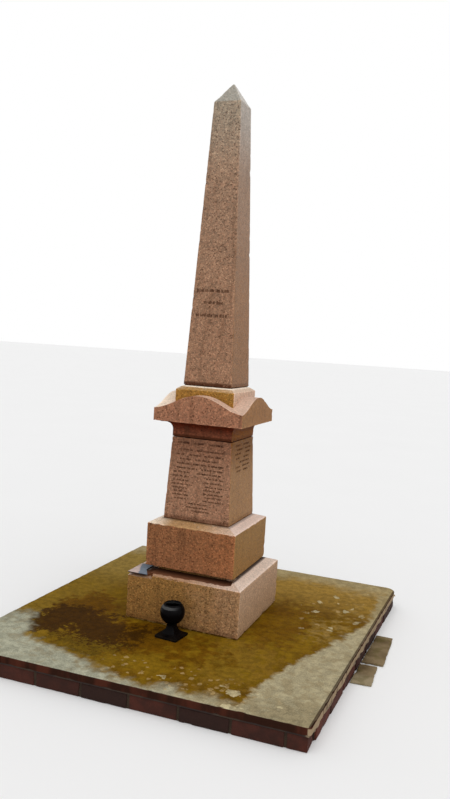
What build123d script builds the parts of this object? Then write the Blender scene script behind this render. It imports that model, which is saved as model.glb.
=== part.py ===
from build123d import *
import os

# A granite memorial obelisk on a thin slab over one course of bricks, with a small urn before its front.
# Driving dimensions are in millimetres. The obelisk's axis is x = y = 0 and the lowest ground is z = 0.
# The front faces -Y.

# Footing: brick walls round a concrete core, and two flat stones lying at its right foot.
brick_course_height = 65.0
brick_wall_thickness = 102.5
footing_inset = 5.0
footing_stone_thickness = 14.0
footing_stone_gap = 15.0
near_stone_length = 225.0
near_stone_reach = 102.0
far_stone_length = 380.0
far_stone_reach = 110.0
footing_stones_start_y = -265.0
footing_stone_skew = 9.0

# Slab, cast a little out of square, and the bed of mortar that stands just proud of its right edge.
slab_front_left = (-845.0, -973.0)
slab_front_right = (834.0, -922.0)
slab_back_right = (886.0, 895.0)
slab_back_left = (-838.0, 885.0)
slab_thickness = 35.0
slab_corner_radius = 14.0
slab_worn_corner_radius = 65.0
slab_arris_radius = 5.0
bed_thickness = 8.0
bed_inset = 6.0
bed_right_lip = 1.5

# Two base blocks. The top of each slopes up from its arris to the foot of the piece above.
lower_block_width = 610.0
lower_block_height = 233.0
lower_block_rise = 23.0
middle_block_width = 482.0
middle_block_height = 221.0
middle_block_rise = 20.0
foot_margin = 1.0

# Tapered die with the panel faces, under its moulded course.
die_foot_width = 362.0
die_top_width = 325.0
die_height = 420.0

# Moulded course: a plain frieze, a hollow moulding and a fillet under the overhang of the cap.
frieze_height = 37.0
cavetto_height = 38.0
cavetto_projection = 49.0
moulding_fillet_height = 5.5

# Cap with a gable on each of its four sides. Each gable edge hollows at its foot and swells at its crown.
cap_width = 476.0
cap_corner_height = 64.5
gable_rise = 75.0
gable_hollow_reach = 95.0
gable_hollow_slope = 0.12
gable_swell_reach = 95.0

# Neck plinth set down between the gables, with its own sloping top.
neck_width = 320.0
neck_height = 92.0
neck_rise = 25.0
neck_clearance = 0.3

# Shaft with a pyramid tip that is worn blunt.
shaft_foot_width = 262.0
shaft_top_width = 146.0
shaft_height = 1420.0
tip_height = 104.0
tip_blunt_width = 8.0

# Mortar joints: thickness, and how far each stands back from the face above it.
lower_joint_thickness = 6.0
lower_joint_recess = 5.0
middle_joint_thickness = 7.0
middle_joint_recess = 12.0
die_joint_thickness = 3.0
die_joint_recess = 3.0
moulding_joint_thickness = 3.0
moulding_joint_recess = 6.0
shaft_joint_thickness = 4.0
shaft_joint_recess = 5.0

# Decay at the front of the lower block: a hollow under the open joint, a broken corner and its slate.
front_rake_depth = 52.0
hollow_left_end = 225.0
hollow_margin_left = 22.0
hollow_margin_right = 38.0
hollow_depth = 18.0
slate_thickness = 6.0
slate_rebate_depth = 25.0
slate_rebate_width = 115.0
slate_rebate_length = 150.0
slate_clearance = 2.0
slate_overhang = 4.0
corner_chip_width = 113.0
corner_chip_height = 13.0
corner_chip_depth = 24.0

# Urn: a square foot, a flared stem and an open bowl.
urn_gap = 40.0
urn_shift_x = 1.0
urn_turn = -6.0
urn_foot_width = 120.0
urn_foot_thickness = 10.0
urn_foot_corner_radius = 6.0
urn_flare_width = 112.0
urn_waist_width = 38.0
urn_stem_height = 54.0
urn_collar_diameter = 46.0
urn_collar_height = 6.0
urn_bowl_height = 98.0
urn_bowl_diameter = 120.0
urn_belly_height = 54.0
urn_mouth_diameter = 86.0
urn_wall = 4.0
urn_floor = 9.0
urn_lower_bands = 4
urn_upper_bands = 2

# Levels, each built up from the piece below it.
bed_level = brick_course_height
slab_level = bed_level + bed_thickness
slab_top = slab_level + slab_thickness
lower_block_level = slab_top + lower_joint_thickness
lower_arris_level = lower_block_level + lower_block_height
lower_seat_level = lower_arris_level + lower_block_rise
middle_block_level = lower_seat_level + middle_joint_thickness
middle_arris_level = middle_block_level + middle_block_height
middle_seat_level = middle_arris_level + middle_block_rise
die_level = middle_seat_level + die_joint_thickness
die_top_level = die_level + die_height
moulding_level = die_top_level + moulding_joint_thickness
cavetto_level = moulding_level + frieze_height
fillet_level = cavetto_level + cavetto_height
cap_level = fillet_level + moulding_fillet_height
cap_corner_level = cap_level + cap_corner_height
gable_level = cap_corner_level + gable_rise
neck_arris_level = cap_corner_level + neck_height
neck_seat_level = neck_arris_level + neck_rise
shaft_level = neck_seat_level + shaft_joint_thickness
shaft_shoulder_level = shaft_level + shaft_height
tip_level = shaft_shoulder_level + tip_height

# Plan positions that several pieces share. Each edge of the slab runs from one corner to the next.
slab_edges = {
    "front": (slab_front_left, slab_front_right),
    "right": (slab_front_right, slab_back_right),
    "back": (slab_back_right, slab_back_left),
    "left": (slab_back_left, slab_front_left),
}
lower_half = lower_block_width / 2
middle_half = middle_block_width / 2
urn_y = -lower_half - urn_gap - urn_foot_width / 2


def box_between(low, high):
    """An upright block from its lowest to its highest corner."""
    size = [top - bottom for bottom, top in zip(low, high)]
    return Pos(*low) * Box(*size, align=(Align.MIN, Align.MIN, Align.MIN))


def silhouette(*stations):
    """A symmetrical outline in the XZ plane, through (half width, level) stations from the bottom up."""
    right = list(stations)
    left = [(-half_width, level) for half_width, level in reversed(right)]
    return Plane.XZ * make_face(Polyline(*right, *left, close=True))


def square_from(outline):
    """The solid of square plan that shows this outline from the front and from the side."""
    reach = outline.bounding_box().size.X
    bar = extrude(outline, amount=reach, both=True)
    return bar & (Rot(0, 0, 90) * bar)


def square_prism(foot_width, foot_level, top_width, top_level):
    """A square block with straight sides that may taper."""
    return square_from(silhouette((foot_width / 2, foot_level), (top_width / 2, top_level)))


def sloped_block(width, level, arris_level, seat_width, seat_level):
    """A square block whose top slopes up on all sides to the seat of the piece above."""
    stations = ((width / 2, level), (width / 2, arris_level), (seat_width / 2, seat_level))
    return square_from(silhouette(*stations))


def inside_edge(side, depth):
    """The upright plane that lies this deep inside one edge of the slab, facing outwards."""
    start, end = (Vector(*corner) for corner in slab_edges[side])
    outward = (end - start).cross(Vector(0, 0, 1)).normalized()
    return Plane(origin=start - outward * depth, z_dir=outward)


def plate(depths, level, thickness):
    """A plate whose sides lie at the given depths inside the edges of the slab."""
    reach = max(slab_back_right)
    body = box_between((-2 * reach, -2 * reach, level), (2 * reach, 2 * reach, level + thickness))
    for side, depth in depths.items():
        body = split(body, bisect_by=inside_edge(side, depth), keep=Keep.BOTTOM)
    return body


def footing_walls():
    """Front and back walls run the full width, side walls stand between them, and the core fills the rest."""
    rest = plate(dict.fromkeys(slab_edges, footing_inset), 0, brick_course_height)
    walls = {}
    for side in ("front", "back", "left", "right"):
        inner_face = inside_edge(side, footing_inset + brick_wall_thickness)
        walls[f"footing_{side}"] = split(rest, bisect_by=inner_face, keep=Keep.TOP)
        rest = split(rest, bisect_by=inner_face, keep=Keep.BOTTOM)
    walls["footing_core"] = rest
    return walls


def right_wall_x(y):
    """How far right the face of the right wall stands, at a distance along it."""
    (near_x, near_y), (far_x, far_y) = slab_edges["right"]
    return near_x + (far_x - near_x) * (y - near_y) / (far_y - near_y) - footing_inset


def footing_stone(start_y, length, reach):
    """A flat stone at ground level, fitted against the right wall, with its outer edge askew."""
    outer_x = right_wall_x(start_y) + reach
    corners = (
        (0, start_y),
        (outer_x, start_y + footing_stone_skew),
        (outer_x - footing_stone_skew, start_y + length),
        (0, start_y + length),
    )
    stone = extrude(make_face(Polyline(*corners, close=True)), amount=footing_stone_thickness)
    return split(stone, bisect_by=inside_edge("right", footing_inset), keep=Keep.TOP)


def slab():
    """The slab, with three sharp corners and one worn round, and its top arris rounded."""
    outline = make_face(Polyline(*[start for start, end in slab_edges.values()], close=True))
    corners = outline.vertices().sort_by(lambda corner: corner.X + corner.Y)
    outline = fillet(corners[:3], slab_corner_radius)
    worn_corner = outline.vertices().sort_by(lambda corner: corner.X + corner.Y)[-1]
    outline = fillet(worn_corner, slab_worn_corner_radius)
    body = extrude(Pos(0, 0, slab_level) * outline, amount=slab_thickness)
    return fillet(body.edges().group_by(Axis.Z)[-1], slab_arris_radius)


def slab_bed():
    """The mortar bed under the slab, which stands proud on the right and back from the edge elsewhere."""
    depths = dict.fromkeys(slab_edges, bed_inset)
    depths["right"] = -bed_right_lip
    return plate(depths, bed_level, bed_thickness)


def front_hollow():
    """The decayed strip of the lower block's sloping top, from its narrow left end to the right."""
    back_y = front_rake_depth - middle_half
    corners = (
        (-hollow_left_end, hollow_margin_left - lower_half),
        (middle_half, hollow_margin_right - lower_half),
        (middle_half, back_y),
        (-hollow_left_end, back_y),
    )
    floor_plan = Pos(0, 0, lower_seat_level - hollow_depth) * make_face(Polyline(*corners, close=True))
    return extrude(floor_plan, amount=hollow_depth + middle_joint_thickness)


def slate_rebate():
    """The recess at the front left corner that holds the slate."""
    floor_level = lower_seat_level - slate_rebate_depth
    low = (-lower_half, -lower_half, floor_level)
    high = (slate_rebate_width - lower_half, slate_rebate_length - lower_half, middle_block_level)
    return box_between(low, high)


def corner_chip():
    """The broken arris under the slate, a wedge that is deepest at the top."""
    top_level = lower_seat_level - slate_rebate_depth
    corners = (
        (-lower_half, top_level),
        (corner_chip_depth - lower_half, top_level),
        (-lower_half, top_level - corner_chip_height),
    )
    wedge = Plane.YZ * make_face(Polyline(*corners, close=True))
    return extrude(Pos(-lower_half, 0, 0) * wedge, amount=corner_chip_width)


def lower_block():
    """The lowest base block, with its decayed front."""
    seat_width = middle_block_width + 2 * foot_margin
    block = sloped_block(lower_block_width, lower_block_level, lower_arris_level, seat_width, lower_seat_level)
    return block - front_hollow() - slate_rebate() - corner_chip()


def corner_slate():
    """The slate laid over the broken corner, a little proud of the face."""
    floor_level = lower_seat_level - slate_rebate_depth
    low = (slate_clearance - lower_half, -lower_half - slate_overhang, floor_level)
    inner_x = slate_rebate_width - lower_half - slate_clearance
    inner_y = slate_rebate_length - lower_half - slate_clearance
    return box_between(low, (inner_x, inner_y, floor_level + slate_thickness))


def middle_block_joint():
    """The bed under the middle block, raked out deeply along the front."""
    half = middle_half - middle_joint_recess
    low = (-half, front_rake_depth - middle_half, lower_seat_level)
    return box_between(low, (half, half, middle_block_level))


def middle_block():
    """The upper base block."""
    seat_width = die_foot_width + 2 * foot_margin
    return sloped_block(
        middle_block_width, middle_block_level, middle_arris_level, seat_width, middle_seat_level
    )


def joint_bed(width, recess, level, thickness):
    """A thin bed of mortar that stands back from the face of the stone on it."""
    return square_prism(width - 2 * recess, level, width - 2 * recess, level + thickness)


def moulding_course():
    """Frieze, hollow moulding and fillet, mitred at the corners."""
    frieze_half = die_top_width / 2
    fillet_half = frieze_half + cavetto_projection
    foot = Polyline((0, moulding_level), (frieze_half, moulding_level), (frieze_half, cavetto_level))
    hollow = TangentArc((frieze_half, cavetto_level), (fillet_half, fillet_level), tangent=(0, 1))
    head = Polyline((fillet_half, fillet_level), (fillet_half, cap_level), (0, cap_level))
    half_outline = foot + hollow + head
    outline = make_face(half_outline + mirror(half_outline, about=Plane.YZ))
    return square_from(Plane.XZ * outline)


def gable_outline():
    """The front of the cap: upright sides, and a gable whose edges run from a hollow into a swelling."""
    half = cap_width / 2
    foot = (half, cap_corner_level)
    hollow = (half - gable_hollow_reach, cap_corner_level + gable_hollow_reach * gable_hollow_slope)
    swelling = (gable_swell_reach, gable_level)
    side = Polyline((0, cap_level), (half, cap_level), foot)
    edge = Bezier(foot, hollow, swelling, (0, gable_level))
    half_outline = side + edge
    return Plane.XZ * make_face(half_outline + mirror(half_outline, about=Plane.YZ))


def gabled_cap():
    """Four gables round a flat seat. Their roofs run straight back and meet in valleys at the corners."""
    half = cap_width / 2
    roof_depth = half - neck_width / 2 - neck_clearance
    front_gable = extrude(Pos(0, -half, 0) * gable_outline(), amount=-roof_depth)
    cap = box_between((-half, -half, cap_level), (half, half, cap_corner_level))
    for turn in (0, 90, 180, 270):
        cap += Rot(0, 0, turn) * front_gable
    return cap


def neck_plinth():
    """The plinth between the gables that carries the shaft."""
    seat_width = shaft_foot_width + 2 * foot_margin
    return sloped_block(neck_width, cap_corner_level, neck_arris_level, seat_width, neck_seat_level)


def shaft():
    """The tapering shaft and its pyramid tip, one stone."""
    outline = silhouette(
        (shaft_foot_width / 2, shaft_level),
        (shaft_top_width / 2, shaft_shoulder_level),
        (tip_blunt_width / 2, tip_level),
    )
    return square_from(outline)


def at_urn(shape):
    """Stand a piece of the urn on the slab, turned a little from square."""
    return Pos(urn_shift_x, urn_y, slab_top) * Rot(0, 0, urn_turn) * shape


def urn_foot():
    """The square foot plate."""
    plan = RectangleRounded(urn_foot_width, urn_foot_width, urn_foot_corner_radius)
    return at_urn(extrude(plan, amount=urn_foot_thickness))


def urn_stem():
    """The square stem, flaring in a hollow curve from its waist to the foot, under a round collar."""
    waist_level = urn_foot_thickness + urn_stem_height - urn_collar_height
    waist = (urn_waist_width / 2, waist_level)
    flare = TangentArc(waist, (urn_flare_width / 2, urn_foot_thickness), tangent=(0, -1))
    half_outline = Line((0, waist_level), waist) + flare + Line(flare @ 1, (0, urn_foot_thickness))
    outline = make_face(half_outline + mirror(half_outline, about=Plane.YZ))
    collar = extrude(Pos(0, 0, waist_level) * Circle(urn_collar_diameter / 2), amount=urn_collar_height)
    return at_urn(square_from(Plane.XZ * outline) + collar)


def bowl_profile(seat, belly, mouth):
    """Points from seat to mouth, along arcs that meet upright at the belly, in a few straight bands."""
    lower = TangentArc(belly, seat, tangent=(0, -1))
    upper = TangentArc(belly, mouth, tangent=(0, 1))
    below = [lower @ (1 - band / urn_lower_bands) for band in range(urn_lower_bands)]
    above = [upper @ (band / urn_upper_bands) for band in range(urn_upper_bands + 1)]
    return below + above


def urn_bowl():
    """The bowl: full at its belly, drawn in to an open mouth with a rounded rim."""
    low = urn_foot_thickness + urn_stem_height
    rim = low + urn_bowl_height
    belly_level = low + urn_belly_height
    seat, belly, mouth = urn_collar_diameter / 2, urn_bowl_diameter / 2, urn_mouth_diameter / 2
    outside = bowl_profile((seat, low), (belly, belly_level), (mouth, rim))
    lip = (mouth - urn_wall / 2, rim + urn_wall / 2)
    inside = bowl_profile(
        (seat - urn_wall, low + urn_floor), (belly - urn_wall, belly_level), (mouth - urn_wall, rim)
    )
    axis = [(0, low + urn_floor), (0, low)]
    section = Plane.XZ * make_face(Polyline(*outside, lip, *reversed(inside), *axis, close=True))
    return at_urn(revolve(section, axis=Axis.Z))


near_stone_end_y = footing_stones_start_y + near_stone_length
pieces = footing_walls()
pieces["footing_stone_near"] = footing_stone(footing_stones_start_y, near_stone_length, near_stone_reach)
pieces["footing_stone_far"] = footing_stone(
    near_stone_end_y + footing_stone_gap, far_stone_length, far_stone_reach
)
pieces["slab_bed"] = slab_bed()
pieces["slab"] = slab()
pieces["lower_block_joint"] = joint_bed(
    lower_block_width, lower_joint_recess, slab_top, lower_joint_thickness
)
pieces["lower_block"] = lower_block()
pieces["corner_slate"] = corner_slate()
pieces["middle_block_joint"] = middle_block_joint()
pieces["middle_block"] = middle_block()
pieces["die_joint"] = joint_bed(die_foot_width, die_joint_recess, middle_seat_level, die_joint_thickness)
pieces["die"] = square_prism(die_foot_width, die_level, die_top_width, die_top_level)
pieces["moulding_joint"] = joint_bed(
    die_top_width, moulding_joint_recess, die_top_level, moulding_joint_thickness
)
pieces["moulding_course"] = moulding_course()
pieces["gabled_cap"] = gabled_cap()
pieces["neck_plinth"] = neck_plinth()
pieces["shaft_joint"] = joint_bed(
    shaft_foot_width, shaft_joint_recess, neck_seat_level, shaft_joint_thickness
)
pieces["shaft"] = shaft()
pieces["urn_foot"] = urn_foot()
pieces["urn_stem"] = urn_stem()
pieces["urn_bowl"] = urn_bowl()

os.makedirs("parts", exist_ok=True)
for name, piece in pieces.items():
    export_step(piece, f"parts/{name}.step")
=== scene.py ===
import math
import random

import bmesh
import bpy
from mathutils import Matrix, Vector, noise


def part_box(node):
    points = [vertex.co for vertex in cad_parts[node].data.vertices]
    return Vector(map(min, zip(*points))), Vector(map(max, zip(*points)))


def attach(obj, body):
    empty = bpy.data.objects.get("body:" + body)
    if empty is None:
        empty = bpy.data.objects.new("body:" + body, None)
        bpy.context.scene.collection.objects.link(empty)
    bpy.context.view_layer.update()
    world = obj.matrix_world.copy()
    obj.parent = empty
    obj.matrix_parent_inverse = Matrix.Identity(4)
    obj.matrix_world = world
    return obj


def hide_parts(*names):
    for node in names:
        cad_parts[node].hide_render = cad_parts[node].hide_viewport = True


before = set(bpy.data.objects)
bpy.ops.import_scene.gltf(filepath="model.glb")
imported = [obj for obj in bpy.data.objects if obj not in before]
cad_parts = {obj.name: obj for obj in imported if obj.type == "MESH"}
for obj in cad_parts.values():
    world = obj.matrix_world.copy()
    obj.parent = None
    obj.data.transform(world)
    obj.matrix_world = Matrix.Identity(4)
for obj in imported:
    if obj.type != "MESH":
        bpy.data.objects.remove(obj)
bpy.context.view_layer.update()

# Footing walls: a single course of old red bricks laid end to end in mortar, a little inside the edges of
# the slab. The bricks are soaked and dirty from the soil, their corners are blunt, and the mortar is raked
# back by rain. The front and back walls run the full width, and the side walls fit between them.
slab_corners = [
    Vector((-0.845, -0.973)), Vector((0.834, -0.922)), Vector((0.886, 0.895)), Vector((-0.838, 0.885)),
]
footing_inset = 0.005
brick_length, brick_width, brick_height = 0.215, 0.1025, 0.065
brick_joint = 0.01
shortest_cut_brick = 0.04
brick_end_gap = 0.004
mortar_set_back, mortar_below_slab = 0.009, 0.001
brick_shift, brick_arris, brick_cell, brick_chip, brick_waviness = 0.004, 0.004, 0.022, 0.006, 0.002
brick_red = (86, 42, 31)
brick_dark = (40, 24, 19)
mortar_grey = (62, 50, 38)


def seen(red, green, blue):
    """A colour as it looks on a screen, from 0 to 255, turned into light."""
    light = [(value / 255 + 0.055) / 1.055 for value in (red, green, blue)]
    return (*[value ** 2.4 for value in light], 1.0)


class Wire:
    """A socket on its way through a material or the sky, which Python arithmetic can be done with."""

    def __init__(self, owner, socket):
        self.owner = owner
        self.socket = socket

    def node(self, kind, settings, inputs, output=0):
        """Adds any node: its settings come first, then the values or wires of its sockets."""
        tree = self.owner.node_tree
        made = tree.nodes.new(kind)
        for name, value in settings.items():
            if name == "stops":
                ramp = made.color_ramp
                ramp.interpolation = "CONSTANT"
                while len(ramp.elements) < len(value):
                    ramp.elements.new(1.0)
                for element, (place, colour) in zip(ramp.elements, value):
                    element.position = place
                    element.color = colour
            else:
                setattr(made, name, value)
        for name, value in inputs.items():
            if isinstance(value, Wire):
                tree.links.new(value.socket, made.inputs[name])
            else:
                made.inputs[name].default_value = value
        return Wire(self.owner, made.outputs[output])

    def other(self, output):
        """Another output of the node that this wire comes from."""
        return Wire(self.owner, self.socket.node.outputs[output])

    def maths(self, operation, *others):
        return self.node("ShaderNodeMath", {"operation": operation}, dict(enumerate((self, *others))))

    def vectors(self, operation, *others):
        return self.node("ShaderNodeVectorMath", {"operation": operation}, dict(enumerate((self, *others))))

    def __add__(self, other):
        return self.maths("ADD", other)

    __radd__ = __add__

    def __sub__(self, other):
        return self.maths("SUBTRACT", other)

    def __rsub__(self, other):
        return self.node("ShaderNodeMath", {"operation": "SUBTRACT"}, {0: other, 1: self})

    def __mul__(self, other):
        return self.maths("MULTIPLY", other)

    __rmul__ = __mul__

    def __abs__(self):
        return self.maths("ABSOLUTE")

    def rise(self, low, high):
        """A smooth step from 0 at low to 1 at high."""
        settings = {"interpolation_type": "SMOOTHSTEP"}
        return self.node("ShaderNodeMapRange", settings, {"Value": self, "From Min": low, "From Max": high})

    def parts(self):
        """The x, y and z of a vector."""
        split = self.node("ShaderNodeSeparateXYZ", {}, {0: self})
        return [Wire(self.owner, socket) for socket in split.socket.node.outputs]

    def stretched(self, along_x, along_y, along_z):
        """The vector with each of its parts scaled."""
        return self.vectors("MULTIPLY", (along_x, along_y, along_z))

    def cloud(self, scale, detail=3.0):
        """Soft noise about 0.5, with patches of about one over the scale."""
        return self.node("ShaderNodeTexNoise", {}, {"Vector": self, "Scale": scale, "Detail": detail})

    def warped(self, scale, amount):
        """The vector pushed about by noise, which makes straight and round patterns ragged."""
        shake = self.node("ShaderNodeTexNoise", {}, {"Vector": self, "Scale": scale, "Detail": 2.0}, "Color")
        centred = shake.vectors("SUBTRACT", (0.5, 0.5, 0.5))
        return centred.vectors("MULTIPLY_ADD", (amount, amount, amount), self)

    def crystals(self, scale):
        """A random number for each cell of a broken pattern."""
        cells = self.node("ShaderNodeTexVoronoi", {}, {"Vector": self, "Scale": scale}, "Color")
        return self.node("ShaderNodeSeparateColor", {}, {0: cells})

    def blend(self, below, above):
        """Lays one colour over another, with this wire as the factor. A triple is a seen colour."""
        inputs = {0: self, 6: below, 7: above}
        for name in (6, 7):
            if isinstance(inputs[name], tuple) and len(inputs[name]) == 3:
                inputs[name] = seen(*inputs[name])
        return self.node("ShaderNodeMix", {"data_type": "RGBA"}, inputs, 2)

    def shaded(self, amount):
        """A colour made darker or lighter by a factor."""
        settings = {"data_type": "RGBA", "blend_type": "MULTIPLY"}
        return self.node("ShaderNodeMix", settings, {0: 1.0, 6: self, 7: amount}, 2)

    def tinted(self, tone, where, share=1.0):
        """The colour with some of another tone laid over it in places."""
        return (where * share).blend(self, tone)


def start_material(name):
    """Starts a material, with the wire of the object's coordinates that its patterns come from."""
    material = bpy.data.materials.new(name)
    material.use_nodes = True
    return Wire(material, None).node("ShaderNodeTexCoord", {}, {}, "Object")


def painted(place, name):
    """A number that the mesh carries for each of its faces or corners."""
    return place.node("ShaderNodeAttribute", {"attribute_name": name}, {}, "Fac")


def finish_material(colour, roughness, relief, depth, specular=0.5):
    """Joins the patterns to the shader, and sets its shine, which is the same all over."""
    shader = colour.owner.node_tree.nodes["Principled BSDF"]
    links = colour.owner.node_tree.links
    bump = relief.node("ShaderNodeBump", {}, {"Height": relief, "Distance": depth, "Strength": 1.0})
    links.new(colour.socket, shader.inputs["Base Color"])
    links.new(roughness.socket, shader.inputs["Roughness"])
    links.new(bump.socket, shader.inputs["Normal"])
    shader.inputs["Specular IOR Level"].default_value = specular
    return colour.owner


def brick_material():
    place = start_material("old_brick")
    soil = place.cloud(14.0).rise(0.35, 0.7)
    grit = place.cloud(260.0, 2.0)
    colour = painted(place, "tone").blend(brick_dark, brick_red).tinted(brick_dark, soil, 0.7)
    relief = place.cloud(120.0) + place.cloud(420.0, 2.0) * 0.4
    colour = colour.shaded(0.7 + grit * 0.6)
    return finish_material(colour, 0.85 + grit * 0.1, relief, 0.002, specular=0.2)


def mortar_material():
    place = start_material("brick_mortar")
    grains = place.crystals(420.0)
    damp = place.cloud(22.0).rise(0.35, 0.65)
    colour = (damp * 0.5).blend(mortar_grey, brick_dark).shaded(0.75 + grains * 0.5)
    relief = place.cloud(90.0) + grains * 0.25
    return finish_material(colour, 0.9 - damp * 0.1, relief, 0.002, specular=0.2)


def corners_inside(depth):
    """The slab's corners moved in, so that each of its edges has come in by the depth."""
    moved = []
    for index, corner in enumerate(slab_corners):
        before = (corner - slab_corners[index - 1]).normalized()
        after = (slab_corners[(index + 1) % 4] - corner).normalized()
        inward = before.orthogonal() + after.orthogonal()
        moved.append(corner + inward * depth / (1 + before.dot(after)))
    return moved


def cut_across(bm, point, normal, shape=None):
    """Cuts the whole shape, or a part of it, along a plane."""
    if shape is None:
        shape = bm.verts[:] + bm.edges[:] + bm.faces[:]
    bmesh.ops.bisect_plane(bm, geom=shape, plane_co=point, plane_no=normal, dist=1e-5)


def cut_up(bm, spacing, low=None, high=None):
    """Cuts the shape, or its part between two corners, into cells, so that its surface can be worn."""
    for axis in range(3):
        start = low[axis] if low else min(vert.co[axis] for vert in bm.verts)
        end = high[axis] if high else max(vert.co[axis] for vert in bm.verts)
        normal = [0.0, 0.0, 0.0]
        normal[axis] = 1.0
        count = max(1, round((end - start) / spacing))
        for step in range(1, count):
            point = [0.0, 0.0, 0.0]
            point[axis] = start + (end - start) * step / count
            shape = None
            if low:
                middles = [(face, face.calc_center_median()) for face in bm.faces]
                faces = [face for face, at in middles if all(a < b < c for a, b, c in zip(low, at, high))]
                edges = {edge for face in faces for edge in face.edges}
                verts = {vert for face in faces for vert in face.verts}
                shape = [*verts, *edges, *faces]
            cut_across(bm, point, normal, shape)


def bevel(bm, edges, width, steps, clamp=False):
    """Takes the sharpness off some edges."""
    bmesh.ops.bevel(
        bm, geom=edges, offset=width, affect="EDGES", segments=steps, profile=0.5, material=-1,
        clamp_overlap=clamp,
    )


def round_arrises(bm, width, least_angle=0.5):
    """Takes the sharpness off every arris."""
    sharp = [edge for edge in bm.edges if edge.is_manifold and edge.calc_face_angle() > least_angle]
    bevel(bm, sharp, width, 2, clamp=True)


def wear(bm, chip, waviness, seed):
    """Sinks the surface a little and unevenly, breaks small chips from the arrises, and marks them."""
    on_arris = bm.verts.layers.float.new("arris")
    bmesh.ops.recalc_face_normals(bm, faces=bm.faces[:])
    bm.normal_update()
    for edge in bm.edges:
        if edge.is_manifold and edge.calc_face_angle() > 0.3:
            for vert in edge.verts:
                vert[on_arris] = 1.0
    shift = Vector((seed * 3.1, seed * 1.7, seed * 2.3))
    moves = []
    for vert in bm.verts:
        depth = waviness * (0.5 + 0.5 * noise.noise(vert.co * 14.0 + shift))
        if vert[on_arris]:
            depth += chip * max(0.0, noise.noise(vert.co * 38.0 + shift) * 1.6 - 0.25)
        moves.append((vert, vert.normal * depth))
    for vert, move in moves:
        vert.co -= move


def add_block(bm, low, high):
    """Adds an upright block between two corners, and returns its vertices."""
    made = bmesh.ops.create_cube(bm, size=1.0)["verts"]
    size = [top - bottom for bottom, top in zip(low, high)]
    middle = [(bottom + top) / 2 for bottom, top in zip(low, high)]
    bmesh.ops.scale(bm, vec=size, verts=made)
    bmesh.ops.translate(bm, vec=middle, verts=made)
    return made


def add_object(name, data):
    """Puts a mesh, a light or a camera into the scene."""
    made = bpy.data.objects.new(name, data)
    bpy.context.scene.collection.objects.link(made)
    return made


def finish_piece(bm, name, materials, slot, *nodes):
    """Makes the mesh an object that stands for its CAD nodes and is carried with the whole object."""
    up = bm.faces.layers.float.new("up")
    bmesh.ops.recalc_face_normals(bm, faces=bm.faces[:])
    bm.normal_update()
    for face in bm.faces:
        face.smooth = True
        face[up] = face.normal.z
    for edge in bm.edges:
        edge.smooth = edge.calc_face_angle(0.0) < 0.9
    mesh = bpy.data.meshes.new(name)
    bm.to_mesh(mesh)
    bm.free()
    piece = add_object(name, mesh)
    for material in materials:
        mesh.materials.append(material)
    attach(piece, "root")
    if nodes:
        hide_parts(*nodes)
    return piece


def lay_wall(node, start, end, mortar_end, seed):
    """Lays bricks from start to end, with their outer faces on that line, and mortar between them."""
    along = end - start
    length = along.length
    module = brick_length + brick_joint
    count = int(length / module)
    cut = length - count * module - brick_joint
    lengths = [brick_length] * count + [cut] * (cut > shortest_cut_brick)
    joint = (length - 2 * brick_end_gap - sum(lengths)) / (len(lengths) - 1)
    dice = random.Random(seed)
    wall = bmesh.new()
    tone = wall.faces.layers.float.new("tone")
    place = brick_end_gap
    for brick_size in lengths:
        brick = bmesh.new()
        outer, inner = dice.uniform(0.0, brick_shift), brick_width - dice.uniform(0.0, brick_shift)
        add_block(brick, (place, outer, 0.0), (place + brick_size, inner, brick_height))
        round_arrises(brick, brick_arris)
        cut_up(brick, brick_cell)
        wear(brick, brick_chip, brick_waviness, dice.uniform(0, 50))
        joined = bpy.data.meshes.new("brick")
        brick.to_mesh(joined)
        brick.free()
        before = len(wall.faces)
        wall.from_mesh(joined)
        bpy.data.meshes.remove(joined)
        wall.faces.ensure_lookup_table()
        shade = dice.random()
        for face in wall.faces[before:]:
            face[tone] = shade
        place += brick_size + joint
    before = len(wall.faces)
    mortar_low = (mortar_end, mortar_set_back, 0.0)
    mortar_high = (length - mortar_end, brick_width - mortar_set_back, brick_height - mortar_below_slab)
    add_block(wall, mortar_low, mortar_high)
    wall.faces.ensure_lookup_table()
    for face in wall.faces[before:]:
        face.material_index = 1
    turned = Matrix.Translation((*start, 0.0)) @ Matrix.Rotation(math.atan2(along.y, along.x), 4, "Z")
    bmesh.ops.transform(wall, matrix=turned, verts=wall.verts[:])
    finish_piece(wall, node + "_bricks", [old_brick, brick_mortar], "brick", node)


old_brick = brick_material()
brick_mortar = mortar_material()
front_left, front_right, back_right, back_left = corners_inside(footing_inset)
up_right_side = (back_right - front_right).normalized() * brick_width
down_left_side = (front_left - back_left).normalized() * brick_width
lay_wall("footing_front", front_left, front_right, mortar_set_back, 11)
lay_wall("footing_back", back_right, back_left, mortar_set_back, 12)
lay_wall("footing_right", front_right + up_right_side, back_right - up_right_side, 0.0, 14)
lay_wall("footing_left", back_left + down_left_side, front_left - down_left_side, 0.0, 13)

# Hearting: the rubble and lime concrete that fills the inside of the brick course and carries the slab.
# It is only seen from below, rough and uneven in colour, with broken brick in it.


def dress(material, *nodes):
    """Gives nodes of the frame their finished material."""
    for node in nodes:
        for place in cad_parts[node].material_slots:
            place.material = material


def hearting_material():
    place = start_material("rubble_hearting")
    lumps = place.warped(30.0, 0.02).crystals(28.0)
    grit = place.cloud(180.0)
    colour = lumps.rise(0.72, 0.78).blend((140, 130, 112), (118, 76, 60))
    colour = colour.shaded(0.7 + grit * 0.6)
    return finish_material(colour, 0.9 + grit * 0.05, place.cloud(40.0, 5.0), 0.006)


dress(hearting_material(), "footing_core")

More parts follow.
